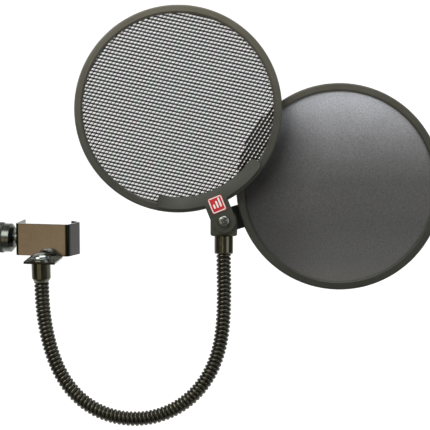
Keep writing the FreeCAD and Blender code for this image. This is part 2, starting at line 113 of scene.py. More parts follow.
# --------------------------------------------------------------- materials
class Mat:
    def __init__(self, name):
        self.m = bpy.data.materials.new(name)
        self.m.use_nodes = True
        self.nt = self.m.node_tree
        self.nt.nodes.clear()
        self.out = self.n("ShaderNodeOutputMaterial")
        self.b = self.n("ShaderNodeBsdfPrincipled")
        self.l(self.b.outputs[0], self.out.inputs[0])

    def n(self, kind, **kw):
        x = self.nt.nodes.new(kind)
        for k, v in kw.items():
            setattr(x, k, v)
        return x

    def l(self, a, b):
        self.nt.links.new(a, b)

    def set(self, **kw):
        for k, v in kw.items():
            self.b.inputs[k.replace("_", " ")].default_value = v

    def coord(self):
        return self.n("ShaderNodeTexCoord").outputs["Object"]

    def noise(self, scale, detail=4.0, rough=0.6, vec=None):
        x = self.n("ShaderNodeTexNoise")
        x.inputs["Scale"].default_value = scale
        x.inputs["Detail"].default_value = detail
        x.inputs["Roughness"].default_value = rough
        self.l(vec if vec is not None else self.coord(), x.inputs["Vector"])
        return x.outputs["Fac"]

    def ramp(self, fac, stops):
        r = self.n("ShaderNodeValToRGB")
        e = r.color_ramp.elements
        while len(e) < len(stops):
            e.new(0.5)
        for el, (p, c) in zip(e, stops):
            el.position = p
            el.color = (*c, 1.0) if len(c) == 3 else c
        self.l(fac, r.inputs[0])
        return r.outputs[0]

    def rng(self, fac, a, b, lo, hi):
        r = self.n("ShaderNodeMapRange")
        for i, v in zip((1, 2, 3, 4), (a, b, lo, hi)):
            r.inputs[i].default_value = v
        self.l(fac, r.inputs[0])
        return r.outputs[0]

    def math(self, op, a, b=None):
        x = self.n("ShaderNodeMath", operation=op)
        for i, v in enumerate((a, b)):
            if v is None:
                continue
            if isinstance(v, (int, float)):
                x.inputs[i].default_value = v
            else:
                self.l(v, x.inputs[i])
        return x.outputs[0]

    def mix(self, kind, a, b, fac=1.0):
        x = self.n("ShaderNodeMix", data_type="RGBA", blend_type=kind)
        if isinstance(fac, (int, float)):
            x.inputs["Factor"].default_value = fac
        else:
            self.l(fac, x.inputs["Factor"])
        for i, v in (("A", a), ("B", b)):
            if isinstance(v, tuple):
                x.inputs[i].default_value = (*v, 1.0)
            else:
                self.l(v, x.inputs[i])
        return x.outputs["Result"]

    def edges(self, colour, dark, radius):
        """Painted shade: a thin darker band along sharp corners, where the edges turn away from the light."""
        bv = self.n("ShaderNodeBevel", samples=6)
        bv.inputs["Radius"].default_value = radius
        geo = self.n("ShaderNodeNewGeometry")
        dot = self.n("ShaderNodeVectorMath", operation="DOT_PRODUCT")
        self.l(bv.outputs[0], dot.inputs[0])
        self.l(geo.outputs["Normal"], dot.inputs[1])
        return self.mix("MULTIPLY", colour, self.rng(dot.outputs["Value"], 0.86, 0.985, dark, 1.0))

    def bump(self, height, strength, dist, bevel=0.0, invert=False):
        x = self.n("ShaderNodeBump")
        x.invert = invert
        x.inputs["Strength"].default_value = strength
        x.inputs["Distance"].default_value = dist
        self.l(height, x.inputs["Height"])
        if bevel:
            bv = self.n("ShaderNodeBevel", samples=4)
            bv.inputs["Radius"].default_value = bevel
            self.l(bv.outputs[0], x.inputs["Normal"])
        self.l(x.outputs[0], self.b.inputs["Normal"])
        return x


def paint(name, lo, hi, rough, metal=0.0, grain=900.0, bump=0.08, dist=0.00006, bevel=0.00025, spread=0.08,
          spec=0.5, coat=0.0, edge=None, edge_r=0.0007, region=None):
    """Painted or plated metal: cloudy tone, fine orange-peel bump, patchy gloss, softened edges."""
    m = Mat(name)
    big = m.noise(38.0, 3.0)
    fine = m.noise(grain, 2.0)
    mixed = m.math("ADD", m.math("MULTIPLY", big, 0.65), m.math("MULTIPLY", fine, 0.35))
    colour = m.ramp(mixed, [(0.36, lo), (0.64, hi)])
    if region:
        colour = region(m, colour)
    # painted shade: darker bands along sharp corners
    if edge is not None:
        colour = m.edges(colour, edge, edge_r)
    m.l(colour, m.b.inputs["Base Color"])
    m.l(m.rng(m.noise(120.0, 4.0), 0.3, 0.7, max(0.02, rough - spread), rough + spread), m.b.inputs["Roughness"])
    m.set(Metallic=metal)
    m.b.inputs["Specular IOR Level"].default_value = spec
    if coat:
        m.b.inputs["Coat Weight"].default_value = coat
        m.b.inputs["Coat Roughness"].default_value = 0.08
    m.bump(fine, bump, dist, bevel)
    return m.m


mats = {}


def tab_painted_light(m, colour):
    """Painted light on the bracket: the tab's top painted lighter as lit from above, dark reflections painted at the
    bends, the right flange painted darker, the tab's front edge painted near-black.
    """
    sep = m.n("ShaderNodeSeparateXYZ")
    m.l(m.coord(), sep.inputs[0])
    low = m.rng(sep.outputs[2], -0.0114, -0.0111, 1.0, 0.0)
    front = m.rng(sep.outputs[1], -0.0150, -0.0138, 1.0, 0.0)
    # painted light: the tab's top is lighter where light from above falls on it
    colour = m.mix("MIX", colour, (0.30, 0.315, 0.30), m.math("MULTIPLY", low, front))
    high = m.rng(sep.outputs[2], -0.0114, -0.0111, 0.0, 1.0)
    right = m.math("MULTIPLY", m.rng(sep.outputs[0], 0.0070, 0.0078, 0.0, 1.0), high)
    left = m.math("MULTIPLY", m.rng(sep.outputs[0], -0.0290, -0.0283, 1.0, 0.0), m.math("MULTIPLY", high, m.rng(sep.outputs[1], -0.0095, -0.0085, 1.0, 0.0)))
    beyond = m.math("MULTIPLY", m.rng(sep.outputs[0], 0.0104, 0.0112, 0.0, 1.0), high)
    # painted dark reflections in bands at the bends beside the tab, and painted shade on the right flange
    colour = m.mix("MIX", colour, (0.020, 0.024, 0.016), m.math("MAXIMUM", left, right))
    colour = m.mix("MIX", colour, (0.074, 0.074, 0.072), beyond)
    # painted shade: the tab's front edge near-black
    return m.mix("MIX", colour, (0.02, 0.02, 0.018), m.rng(sep.outputs[1], -0.0331, -0.0329, 1.0, 0.0))


mats["bracket"] = paint("gloss_black_nickel", (0.125, 0.118, 0.105), (0.155, 0.146, 0.13), 0.13, 1.0, 700.0, 0.05, 0.00005, 0.0005, 0.04, edge=0.12, edge_r=0.0011, region=tab_painted_light)
mats["tabscrew"] = paint("zinc_screw", (0.26, 0.285, 0.27), (0.34, 0.365, 0.35), 0.2, 1.0, 700.0, 0.05, 0.00005, 0.0003, 0.05, edge=0.12, edge_r=0.0008)
mats["nut"] = paint("nut_black", (0.10, 0.10, 0.09), (0.14, 0.14, 0.13), 0.2, 1.0, 700.0, 0.05, 0.00005, 0.0004, 0.04, edge=0.3)
mats["ferrule"] = paint("gunmetal", (0.078, 0.076, 0.054), (0.100, 0.097, 0.070), 0.2, 1.0, 800.0, 0.06, 0.00006, 0.0004, 0.06, edge=0.2, edge_r=0.0009)
mats["steel"] = paint("bright_steel", (0.62, 0.63, 0.61), (0.74, 0.75, 0.73), 0.2, 1.0, 500.0, 0.06, 0.00005, 0.0003, 0.07)
mats["screwhead"] = paint("dull_screw_steel", (0.20, 0.215, 0.19), (0.28, 0.30, 0.265), 0.26, 1.0, 600.0, 0.06, 0.00005, 0.0003, 0.07, edge=0.15, edge_r=0.0006)
mats["collar"] = paint("knob_collar", (0.085, 0.094, 0.083), (0.115, 0.125, 0.112), 0.24, 1.0, 600.0, 0.06, 0.00006, 0.0004, 0.06, edge=0.25, edge_r=0.001)
mats["knob"] = paint("knob_black", (0.028, 0.03, 0.025), (0.045, 0.047, 0.04), 0.33, 0.6, 700.0, 0.1, 0.00008, 0.0002, 0.08)


def rim_painted_light(m, colour):
    """Rims: painted light, a little lighter and warmer towards the top, darker below, as light from above falls on
    them.
    """
    sep = m.n("ShaderNodeSeparateXYZ")
    m.l(m.coord(), sep.inputs[0])
    return m.mix("MULTIPLY", colour, m.ramp(m.rng(sep.outputs[2], -0.07, 0.18, 0.0, 1.0), [
        (0.0, (0.42, 0.43, 0.38)), (0.3, (0.56, 0.57, 0.52)), (0.55, (0.74, 0.75, 0.70)), (1.0, (1.75, 1.62, 1.40))]))


mats["rim"] = paint("rim_grey", (0.070, 0.071, 0.063), (0.088, 0.089, 0.080), 0.46, 0.25, 1300.0, 0.22, 0.00008, 0.0004, 0.08, spec=0.4, edge=0.22, edge_r=0.0009, region=rim_painted_light)
mats["yoke"] = paint("yoke_olive_black", (0.062, 0.066, 0.048), (0.082, 0.086, 0.066), 0.36, 0.35, 1200.0, 0.18, 0.00006, 0.0004, 0.08, spec=0.4, edge=0.3, edge_r=0.0008)
mats["coil"] = paint("gooseneck_black", (0.05, 0.049, 0.038), (0.075, 0.073, 0.056), 0.25, 0.9, 900.0, 0.1, 0.00006, 0.0, 0.08)


def mesh_material():
    """Raised expanded metal: dark edges and joints, with a painted highlight on a flat along every second strand,
    where the strand catches the light.
    """
    m = Mat("mesh_black")
    at = m.n("ShaderNodeAttribute")
    at.attribute_name = "strand"         # x = along the strand, y = across it, z = 1 on the wide family
    sep = m.n("ShaderNodeSeparateXYZ")
    m.l(at.outputs["Vector"], sep.inputs[0])
    fine = m.noise(900.0, 3.0)
    far = m.math("DIVIDE", m.math("SUBTRACT", sep.outputs[0], 0.5), 0.34)
    wide = m.math("DIVIDE", m.math("SUBTRACT", sep.outputs[1], 0.21), 0.27)
    e = m.math("ADD", m.math("MULTIPLY", far, far), m.math("MULTIPLY", wide, wide))
    e = m.math("ADD", e, m.math("MULTIPLY", m.math("SUBTRACT", fine, 0.5), 0.9))
    # painted highlight: a pale patch on each wide strand's flat, where it catches the light
    flat = m.math("MULTIPLY", m.rng(e, 0.85, 1.15, 1.0, 0.0), sep.outputs[2])
    dark = m.ramp(fine, [(0.36, (0.007, 0.007, 0.006)), (0.64, (0.015, 0.015, 0.013))])
    glint_tint = m.ramp(m.noise(14.0, 3.0), [(0.35, (0.88, 0.93, 0.90)), (0.65, (1.0, 0.98, 0.96))])
    m.l(m.mix("MIX", dark, glint_tint, flat), m.b.inputs["Base Color"])
    m.l(m.rng(fine, 0.3, 0.7, 0.34, 0.52), m.b.inputs["Roughness"])
    m.b.inputs["Specular IOR Level"].default_value = 0.15
    m.bump(fine, 0.12, 0.00005)
    return m.m


mats["mesh"] = mesh_material()
mats["rubber"] = paint("pad_rubber", (0.018, 0.018, 0.018), (0.035, 0.035, 0.034), 0.75, 0.0, 1600.0, 0.35, 0.0001, 0.0004, 0.1, spec=0.3)
mats["badge"] = paint("badge_enamel", (0.50, 0.022, 0.03), (0.60, 0.035, 0.045), 0.22, 0.0, 900.0, 0.05, 0.00004, 0.0002, 0.05, coat=0.5)
mats["badge_white"] = paint("badge_white", (0.74, 0.74, 0.72), (0.86, 0.86, 0.84), 0.25, 0.0, 900.0, 0.05, 0.00004, 0.0001, 0.05, coat=0.4)


def toned_plate(name, basis, dark, light):
    """Arm plate: satin paint, lighter along the arc and darker round the screw and at one end."""
    m = Mat(name)
    sep = []
    for k in (0, 1):
        dot = m.n("ShaderNodeVectorMath", operation="DOT_PRODUCT")
        m.l(m.coord(), dot.inputs[0])
        dot.inputs[1].default_value = tuple(basis[:, k])
        sep.append(m.math("SUBTRACT", dot.outputs["Value"], float(basis[:, k] @ HINGE) / 1000.0))
    up = m.rng(sep[1], 0.013, 0.026, 0.0, 1.0)
    end = m.rng(sep[0], -0.040, -0.024, 0.0, 1.0)
    cloudy = m.rng(m.noise(60.0, 4.0), 0.3, 0.7, -0.10, 0.10)
    fade_along_arm = m.rng(sep[0], 0.0, 0.045, 1.0, 0.6)
    fac = m.math("ADD", m.math("MULTIPLY", m.math("MULTIPLY", up, fade_along_arm), end), cloudy)
    m.l(m.edges(m.ramp(fac, [(0.0, dark), (1.0, light)]), 0.3, 0.0006), m.b.inputs["Base Color"])
    fine = m.noise(1500.0, 2.0)
    m.l(m.rng(m.noise(120.0, 4.0), 0.3, 0.7, 0.50, 0.64), m.b.inputs["Roughness"])
    m.set(Metallic=0.15)
    m.b.inputs["Specular IOR Level"].default_value = 0.25
    m.bump(fine, 0.2, 0.00006, 0.00025)
    return m.m


mats["metal_plate"] = toned_plate("arm_plate_near", METAL, (0.046, 0.049, 0.038), (0.098, 0.104, 0.093))
mats["fabric_plate"] = toned_plate("arm_plate_far", CLOTH, (0.040, 0.042, 0.034), (0.075, 0.077, 0.068))


def brushed(name, lo, hi, rough):
    """Turned steel: fine rings about each screw's own axis, read from an attribute."""
    m = Mat(name)
    w = m.n("ShaderNodeAttribute")
    w.attribute_name = "turned"
    nz = m.noise(2.2, 3.0, 0.6, w.outputs["Vector"])
    m.l(m.ramp(nz, [(0.3, lo), (0.7, hi)]), m.b.inputs["Base Color"])
    m.l(m.rng(nz, 0.3, 0.7, rough - 0.06, rough + 0.08), m.b.inputs["Roughness"])
    m.set(Metallic=1.0)
    m.bump(nz, 0.08, 0.00004)
    return m.m


mats["thread"] = brushed("turned_thread", (0.6, 0.6, 0.58), (0.74, 0.74, 0.72), 0.22)


def cloth_material():
    """Fine stretched warp knit: rows of tiny loops, a soft tone change over the disc painted as light (lighter and
    bluer towards the top, where light grazes it), painted shade beside the near ring, a little see-through.
    """
    m = Mat("knit_cloth")
    at = m.n("ShaderNodeAttribute")
    at.attribute_name = "cloth"          # x, y across the weave in mm, z = height up the disc, 0 to 1
    sep = m.n("ShaderNodeSeparateXYZ")
    m.l(at.outputs["Vector"], sep.inputs[0])
    jitter = m.noise(1.3, 3.0, 0.6, at.outputs["Vector"])
    u = m.math("ADD", m.math("MULTIPLY", sep.outputs[0], 2 * math.pi / 0.62), m.math("MULTIPLY", jitter, 3.0))
    v = m.math("ADD", m.math("MULTIPLY", sep.outputs[1], 2 * math.pi / 0.55), m.math("MULTIPLY", jitter, 2.4))
    su, sv = m.math("SINE", u), m.math("SINE", v)
    weave = m.math("MULTIPLY", m.math("ADD", m.math("MULTIPLY", su, sv), 1.0), 0.5)
    lee = m.n("ShaderNodeAttribute")
    lee.attribute_name = "lee"           # 0 beside the near ring, where little light reaches, to 1 in the open
    speck = m.noise(2.6, 3.0, 0.75, at.outputs["Vector"])
    slub = m.noise(0.95, 2.0, 0.6, at.outputs["Vector"])
    cloud = m.noise(0.05, 4.0, 0.55, at.outputs["Vector"])
    # painted light and sheen: the tone rises steeply towards the top of the disc and a little towards the bottom
    tone = m.ramp(m.math("ADD", sep.outputs[2], m.math("MULTIPLY", m.math("SUBTRACT", cloud, 0.5), 0.06)), [
        (0.0, (0.118, 0.118, 0.112)), (0.12, (0.098, 0.099, 0.098)), (0.3, (0.083, 0.084, 0.084)),
        (0.52, (0.092, 0.092, 0.094)), (0.62, (0.125, 0.126, 0.129)), (0.74, (0.200, 0.202, 0.211)),
        (0.84, (0.310, 0.318, 0.340)), (0.94, (0.455, 0.475, 0.520)), (1.0, (0.53, 0.56, 0.61))])
    shade = m.n("ShaderNodeMix", data_type="RGBA", blend_type="MULTIPLY")
    shade.inputs["Factor"].default_value = 1.0
    m.l(tone, shade.inputs["A"])
    lit = m.math("ADD", m.math("MULTIPLY", lee.outputs["Fac"], 0.64), 0.36)
    m.l(m.ramp(m.math("ADD", m.math("ADD", m.math("MULTIPLY", weave, 0.25), m.math("MULTIPLY", speck, 0.35)), m.math("MULTIPLY", slub, 0.4)),
               [(0.34, (0.62, 0.62, 0.62)), (0.66, (1.40, 1.40, 1.40))]), shade.inputs["B"])
    dim = m.n("ShaderNodeMix", data_type="RGBA", blend_type="MULTIPLY")
    dim.inputs["Factor"].default_value = 1.0
    m.l(shade.outputs["Result"], dim.inputs["A"])
    m.l(lit, dim.inputs["B"])
    m.l(dim.outputs["Result"], m.b.inputs["Base Color"])
    m.l(m.rng(speck, 0.3, 0.7, 0.78, 0.95), m.b.inputs["Roughness"])
    m.b.inputs["Specular IOR Level"].default_value = 0.2
    m.b.inputs["Sheen Weight"].default_value = 0.15
    m.b.inputs["Sheen Roughness"].default_value = 0.5
    m.bump(weave, 0.35, 0.00012)
    return m.m


mats["cloth"] = cloth_material()


def give(o, mat):
    o.data.materials.clear()
    o.data.materials.append(mat)
    return o


nodes = {o["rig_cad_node"]: o for o in bpy.context.scene.objects if o.type == "MESH" and "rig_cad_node" in o}
LOOK = {
    "clamp_bracket": "bracket", "clamp_nut": "nut", "tab_washer": "tabscrew", "tab_screw": "tabscrew",
    "hinge_yoke": "yoke", "base_ferrule": "ferrule", "top_ferrule": "ferrule", "knob_collar": "collar",
    "knob_head": "knob", "pressure_pad": "rubber", "clamp_screw_shaft": "steel", "yoke_screw": "steel",
    "hinge_spacer": "steel", "front_washer": "steel", "rear_washer": "steel", "nut_washer": "steel",
    "hinge_screw": "screwhead", "hinge_nut": "steel", "metal_rim": "rim", "fabric_rim": "rim",
    "metal_plate": "metal_plate", "fabric_plate": "fabric_plate", "badge": "badge", "metal_mesh": "mesh",
    "fabric_disc": "cloth",
}
for name, o in nodes.items():
    look = LOOK.get(name, "coil")
    o.data.materials.clear()
    o.data.materials.append(mats[look])

# ------------------------------------------------------- gooseneck centreline
DENSE = np.array([
    (-8.20, -22.15, -29.12), (-8.12, -21.42, -38.48), (-7.78, -20.78, -47.84), (-6.93, -20.23, -57.17),
    (-5.54, -19.79, -66.45), (-3.61, -19.41, -75.63), (-1.07, -19.05, -84.66), (2.22, -18.65, -93.44),
    (6.42, -18.15, -101.81), (11.62, -17.50, -109.60), (17.83, -16.66, -116.57), (25.01, -15.60, -122.52),
    (33.01, -14.33, -127.23), (41.65, -12.84, -130.58), (50.67, -11.17, -132.54), (59.85, -9.34, -133.16),
    (68.99, -7.37, -132.44), (77.90, -5.31, -130.35), (86.37, -3.18, -126.92), (94.19, -1.03, -122.23),
    (101.21, 1.11, -116.38), (107.27, 3.21, -109.53), (112.29, 5.22, -101.86), (116.22, 7.12, -93.56),
    (119.09, 8.89, -84.80), (121.01, 10.52, -75.76), (122.13, 12.01, -66.56), (122.66, 13.37, -57.29),
    (122.79, 14.63, -47.99), (122.67, 15.83, -38.68), (122.38, 16.99, -29.36), (121.98, 18.15, -20.06),
    (121.78, 19.48, -10.76),
])
NECK = np.array([
    (-8.20, -22.15, -29.12), (-7.78, -20.78, -47.80), (-5.55, -19.79, -66.38), (-1.10, -19.06, -84.57),
    (6.37, -18.16, -101.73), (17.78, -16.66, -116.52), (32.99, -14.33, -127.22), (50.67, -11.17, -132.54),
    (69.02, -7.37, -132.43), (86.42, -3.17, -126.90), (101.27, 1.13, -116.32), (112.34, 5.24, -101.76),
    (119.12, 8.91, -84.69), (122.14, 12.02, -66.46), (122.79, 14.64, -47.91), (122.38, 16.99, -29.33),
    (121.78, 19.48, -10.76),
])


def spline(points, n):
    """Natural cubic spline through the points, sampled at n even steps of arc length."""
    t = np.r_[0, np.cumsum(np.linalg.norm(np.diff(points, axis=0), axis=1))]
    k = len(points)
    h = np.diff(t)
    A = np.zeros((k, k))
    r = np.zeros((k, 3))
    A[0, 0] = A[-1, -1] = 1.0
    for i in range(1, k - 1):
        A[i, i - 1], A[i, i], A[i, i + 1] = h[i - 1], 2 * (h[i - 1] + h[i]), h[i]
        r[i] = 6 * ((points[i + 1] - points[i]) / h[i] - (points[i] - points[i - 1]) / h[i - 1])
    m = np.linalg.solve(A, r)

    def at(x):
        i = np.clip(np.searchsorted(t, x, side="right") - 1, 0, k - 2)
        a, b = (t[i + 1] - x)[:, None], (x - t[i])[:, None]
        hh = h[i][:, None]
        return (m[i] * a ** 3 + m[i + 1] * b ** 3) / (6 * hh) + (points[i] / hh - m[i] * hh / 6) * a + (
            points[i + 1] / hh - m[i + 1] * hh / 6) * b
    u = np.linspace(0, t[-1], 6000)
    p = at(u)
    s = np.r_[0, np.cumsum(np.linalg.norm(np.diff(p, axis=0), axis=1))]
    want = np.linspace(0, s[-1], n)
    return at(np.interp(want, s, u)), s[-1]


PITCH, RIDGE, CORE = 3.16, 5.62, 4.15
PER_TURN, ROUND = 14, 44
_, total = spline(DENSE, 100)
turns = total / PITCH
steps = int(round(turns * PER_TURN)) + 1
line, total = spline(DENSE, steps)
along = np.linspace(0, total, steps)
tangent = np.gradient(line, axis=0)
tangent /= np.linalg.norm(tangent, axis=1)[:, None]
side = np.zeros_like(line)
s0 = np.cross(tangent[0], YC)
side[0] = s0 / np.linalg.norm(s0)
for i in range(1, steps):
    v = side[i - 1] - tangent[i] * (side[i - 1] @ tangent[i])
    side[i] = v / np.linalg.norm(v)
other = np.cross(tangent, side)


def bead(u):
    """Height of the wound wire over one pitch, 0 to 1: a round crown and a narrow valley."""
    u = (u % 1.0) - 0.5
    return np.sqrt(np.clip(1.0 - (u / 0.46) ** 2, 0.0, 1.0)) ** 1.15


phi = np.arange(ROUND) * 2 * math.pi / ROUND
A_, P_ = np.meshgrid(along, phi, indexing="ij")
R_ = CORE + (RIDGE - CORE) * bead(A_ / PITCH - P_ / (2 * math.pi))
coil = line[:, None, :] + R_[..., None] * (np.cos(P_)[..., None] * side[:, None, :] + np.sin(P_)[..., None] * other[:, None, :])
joint_at = [int(np.argmin(np.linalg.norm(line - q, axis=1))) for q in NECK]
mids = [(joint_at[i] + joint_at[i + 1]) // 2 for i in range(16)]


for j in range(1, 16):
    lo = 0 if j == 1 else mids[j - 1]
    hi = steps - 1 if j == 15 else mids[j]
    part = coil[lo:hi + 1]
    n = len(part)
    verts = part.reshape(-1, 3) / 1000.0
    ii, kk = np.meshgrid(np.arange(n - 1), np.arange(ROUND), indexing="ij")
    k2 = (kk + 1) % ROUND
    faces = np.stack([ii * ROUND + kk, ii * ROUND + k2, (ii + 1) * ROUND + k2, (ii + 1) * ROUND + kk], -1).reshape(-1, 4)
    o = mesh_object("gooseneck_coil_%02d" % j, verts, faces)
    give(o, mats["coil"])
    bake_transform(o)
    covered = ["gooseneck_link_%02d" % j] + (["gooseneck_link_16"] if j == 15 else [])
    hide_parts(*covered)

# ------------------------------------------------------- raised metal mesh
LONG, SHORT = 4.6, 3.22
MESH_Z = 2.3 + 2.5
STRAND_T = 0.42
# the third value switches on the painted highlight on a strand's flat
FAMILY = {1: (1.90, math.radians(20), 1.0), -1: (1.12, math.radians(33), 0.0)}      # width, lean, pale flat


def bonds_to_strands():
    verts, faces, grain = [], [], []
    n = int(75 / (SHORT / 2)) + 2
    for j in range(-n, n + 1):
        y0 = j * SHORT / 2
        off = 0.0 if j % 2 == 0 else LONG / 2
        m = int(75 / LONG) + 2
        for i in range(-m, m + 1):
            x0 = i * LONG + off
            for sx in (-1, 1):
                x1, y1 = x0 + sx * LONG / 2, y0 + SHORT / 2
                if max(math.hypot(x0, y0), math.hypot(x1, y1)) > 74.6 or math.hypot((x0 + x1) / 2, (y0 + y1) / 2) > 73.4:
                    continue
                d = np.array([x1 - x0, y1 - y0, 0.0])
                ln = np.linalg.norm(d)
                d /= ln
                width, lean, pale = FAMILY[sx]
                across = np.array([-d[1], d[0], 0.0])
                if across[1] < 0:
                    across = -across
                # the strand leans, so each opening's upper lip stands towards the near side
                w = across * math.cos(lean) + np.array([0, 0, 1.0]) * math.sin(lean)
                nrm = np.cross(d, w)
                base = len(verts)
                a, b = np.array([x0, y0, 0.0]), np.array([x1, y1, 0.0])
                ring = [(-0.5, -0.5), (0.5, -0.5), (0.5, 0.5), (-0.5, 0.5)]
                stations = [(-0.10, 1.25), (0.16, 1.02), (0.5, 0.92), (0.84, 1.02), (1.10, 1.25)]
                for f, grow in stations:
                    c = a + (b - a) * f
                    for u, v in ring:
                        verts.append(c + w * u * width * grow + nrm * v * STRAND_T)
                        grain.append((f, u, pale))
                for s in range(len(stations) - 1):
                    q = base + 4 * s
                    for k in range(4):
                        k2 = (k + 1) % 4
                        faces.append((q + k, q + k2, q + 4 + k2, q + 4 + k))
                e = base + 4 * (len(stations) - 1)
                faces.append((base + 3, base + 2, base + 1, base))
                faces.append((e, e + 1, e + 2, e + 3))
    return np.array(verts), faces, np.array(grain)


mv, mf, mg = bonds_to_strands()
mesh = mesh_object("metal_mesh_strands", to_row(mv + np.array([0, ARM, MESH_Z]), METAL), mf, smooth=False)
uv_attr(mesh, "strand", mg)
give(mesh, mats["mesh"])
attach(mesh, "metal_filter")
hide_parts("metal_mesh")

# -------------------------------------------------------------- cloth disc
RC = 73.0
rings_n, spokes = 90, 240
rr = np.linspace(0, RC, rings_n + 1)[1:]
aa = np.arange(spokes) * 2 * math.pi / spokes
rng = np.random.default_rng(7)
pts = [(0.0, 0.0, 0.0)]
wave = [(rng.uniform(0, 2 * math.pi), k, rng.uniform(0.3, 1.0)) for k in (2, 3, 5, 8, 13)]
for r in rr:
    for a in aa:
        f = r / RC
        sag = -0.22 * (1 - f * f)
        rip = sum(w * math.sin(k * a + p) for p, k, w in wave) * 0.035 * math.exp(-((f - 0.93) / 0.12) ** 2)
        pts.append((r * math.cos(a), r * math.sin(a), sag + rip))
pts = np.array(pts)
cf = [(0, 1 + k, 1 + (k + 1) % spokes) for k in range(spokes)]
for i in range(rings_n - 1):
    for k in range(spokes):
        a, b = 1 + i * spokes + k, 1 + i * spokes + (k + 1) % spokes
        cf.append((a, a + spokes, b + spokes, b))
row_pts = to_row(pts + np.array([0, ARM, -4.8]), CLOTH)
cloth = mesh_object("fabric_cloth", row_pts, cf)
centre = to_row([(0, ARM, -4.8)], CLOTH)[0]
height = ((row_pts - centre) @ ZC) * 1000.0 / (2 * RC) + 0.5
uv_attr(cloth, "cloth", np.stack([pts[:, 0], pts[:, 1], height], 1))
near_centre = to_row([(0, ARM, -4.8)], METAL)[0]
off = (row_pts - near_centre) * 1000.0
gap = np.hypot(off @ XC, off @ ZC) - 77.7
from_centre = (row_pts - centre) * 1000.0
fx, fz = from_centre @ XC, from_centre @ ZC


def smooth(v, a, b):
    u = np.clip((v - a) / (b - a), 0, 1)
    return u * u * (3 - 2 * u)


# painted shade for the lee attribute: darker beside the near ring (less high up and behind its mesh), darker in the
# lower-left corner, a little lighter to the right
beside = 1.0 - smooth(np.abs(gap), 0.0, 40.0)
low_enough = 1.0 - smooth(fz, 28.0, 62.0) * 0.75
corner = 1.0 - smooth(np.hypot(fx + 66.0, fz + 46.0), 8.0, 62.0)
open_ = (1.0 - beside * low_enough * np.where(gap < 0, 0.45, 1.0)) * (1.0 - 0.62 * corner) * (1.0 + 0.0016 * fx)
lee = cloth.data.attributes.new("lee", "FLOAT", "POINT")
lee.data.foreach_set("value", open_.astype(np.float32))
give(cloth, mats["cloth"])
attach(cloth, "fabric_filter")
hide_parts("fabric_disc")

# ------------------------------------------------------------ badge artwork
TOP = 2.3 + 5.0 + 1.5 + 0.4


def rounded_plate(name, cx, cy, w, h, r, z0, z1, basis):
    loop = []
    for qx, qy, a0 in ((1, 1, 0), (-1, 1, 90), (-1, -1, 180), (1, -1, 270)):
        for k in range(7):
            t = math.radians(a0 + 15 * k)
            loop.append((cx + qx * (w / 2 - r) + r * math.cos(t), cy + qy * (h / 2 - r) + r * math.sin(t)))
    n = len(loop)
    v = [(x, y, z) for z in (z0, z1) for x, y in loop]
    f = [tuple(range(n, 2 * n)), tuple(reversed(range(n)))]
    f += [(k, (k + 1) % n, n + (k + 1) % n, n + k) for k in range(n)]
    return mesh_object(name, to_row(v, basis), f, smooth=False)


bars = []
BC = 13.6
frame_w = 0.75
for tag, cx, cy, w, h in (
        ("badge_edge_top", 0, BC + 5.35, 9.4, frame_w), ("badge_edge_foot", 0, BC - 5.35, 9.4, frame_w),
        ("badge_edge_left", -4.85, BC, frame_w, 9.9), ("badge_edge_right", 4.85, BC, frame_w, 9.9),
        ("badge_bar_low", -2.4, BC - 0.9, 1.35, 3.4), ("badge_bar_mid", 0, BC, 1.35, 5.4),
        ("badge_bar_high", 2.4, BC + 0.9, 1.35, 7.2)):
    o = rounded_plate(tag, cx, cy, w, h, min(w, h) / 2 - 0.02, TOP - 0.02, TOP + 0.07, METAL)
    give(o, mats["badge_white"])
    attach(o, "metal_filter")

# ------------------------------------------------- clamp screw: thread, knob
def screw_mesh(name, x0, x1, r_out, r_in, pitch, around=40, per=10):
    n = int((x1 - x0) / pitch * per) + 1
    xs = np.linspace(x0, x1, n)
    ph = np.arange(around) * 2 * math.pi / around
    X, P = np.meshgrid(xs, ph, indexing="ij")
    u = ((X - x0) / pitch - P / (2 * math.pi)) % 1.0
    tri = 1.0 - np.abs(2 * u - 1.0)
    fade = np.clip((X - x0) / 0.8, 0, 1) * np.clip((x1 - X) / 1.2, 0, 1)
    R = r_in + (r_out - r_in) * np.clip(tri * 1.25, 0, 1)
    R = R * fade + r_in * (1 - fade)
    v = np.stack([X, R * np.cos(P), R * np.sin(P)], -1).reshape(-1, 3)
    ii, kk = np.meshgrid(np.arange(n - 1), np.arange(around), indexing="ij")
    k2 = (kk + 1) % around
    f = np.stack([ii * around + kk, (ii + 1) * around + kk, (ii + 1) * around + k2, ii * around + k2], -1).reshape(-1, 4)
    faces = [tuple(q) for q in f] + [tuple(range(around)), tuple(reversed(range((n - 1) * around, n * around)))]
    o = mesh_object(name, v / 1000.0, faces)
    uv_attr(o, "turned", np.stack([v[:, 0] * 4, np.hypot(v[:, 1], v[:, 2]) * 6, v[:, 2] * 0], 1))
    return o


thread = screw_mesh("clamp_screw_thread", -34.7, -12.7, 3.0, 2.45, 1.0)
give(thread, mats["thread"])
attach(thread, "clamp_screw")
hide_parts("clamp_screw_shaft")


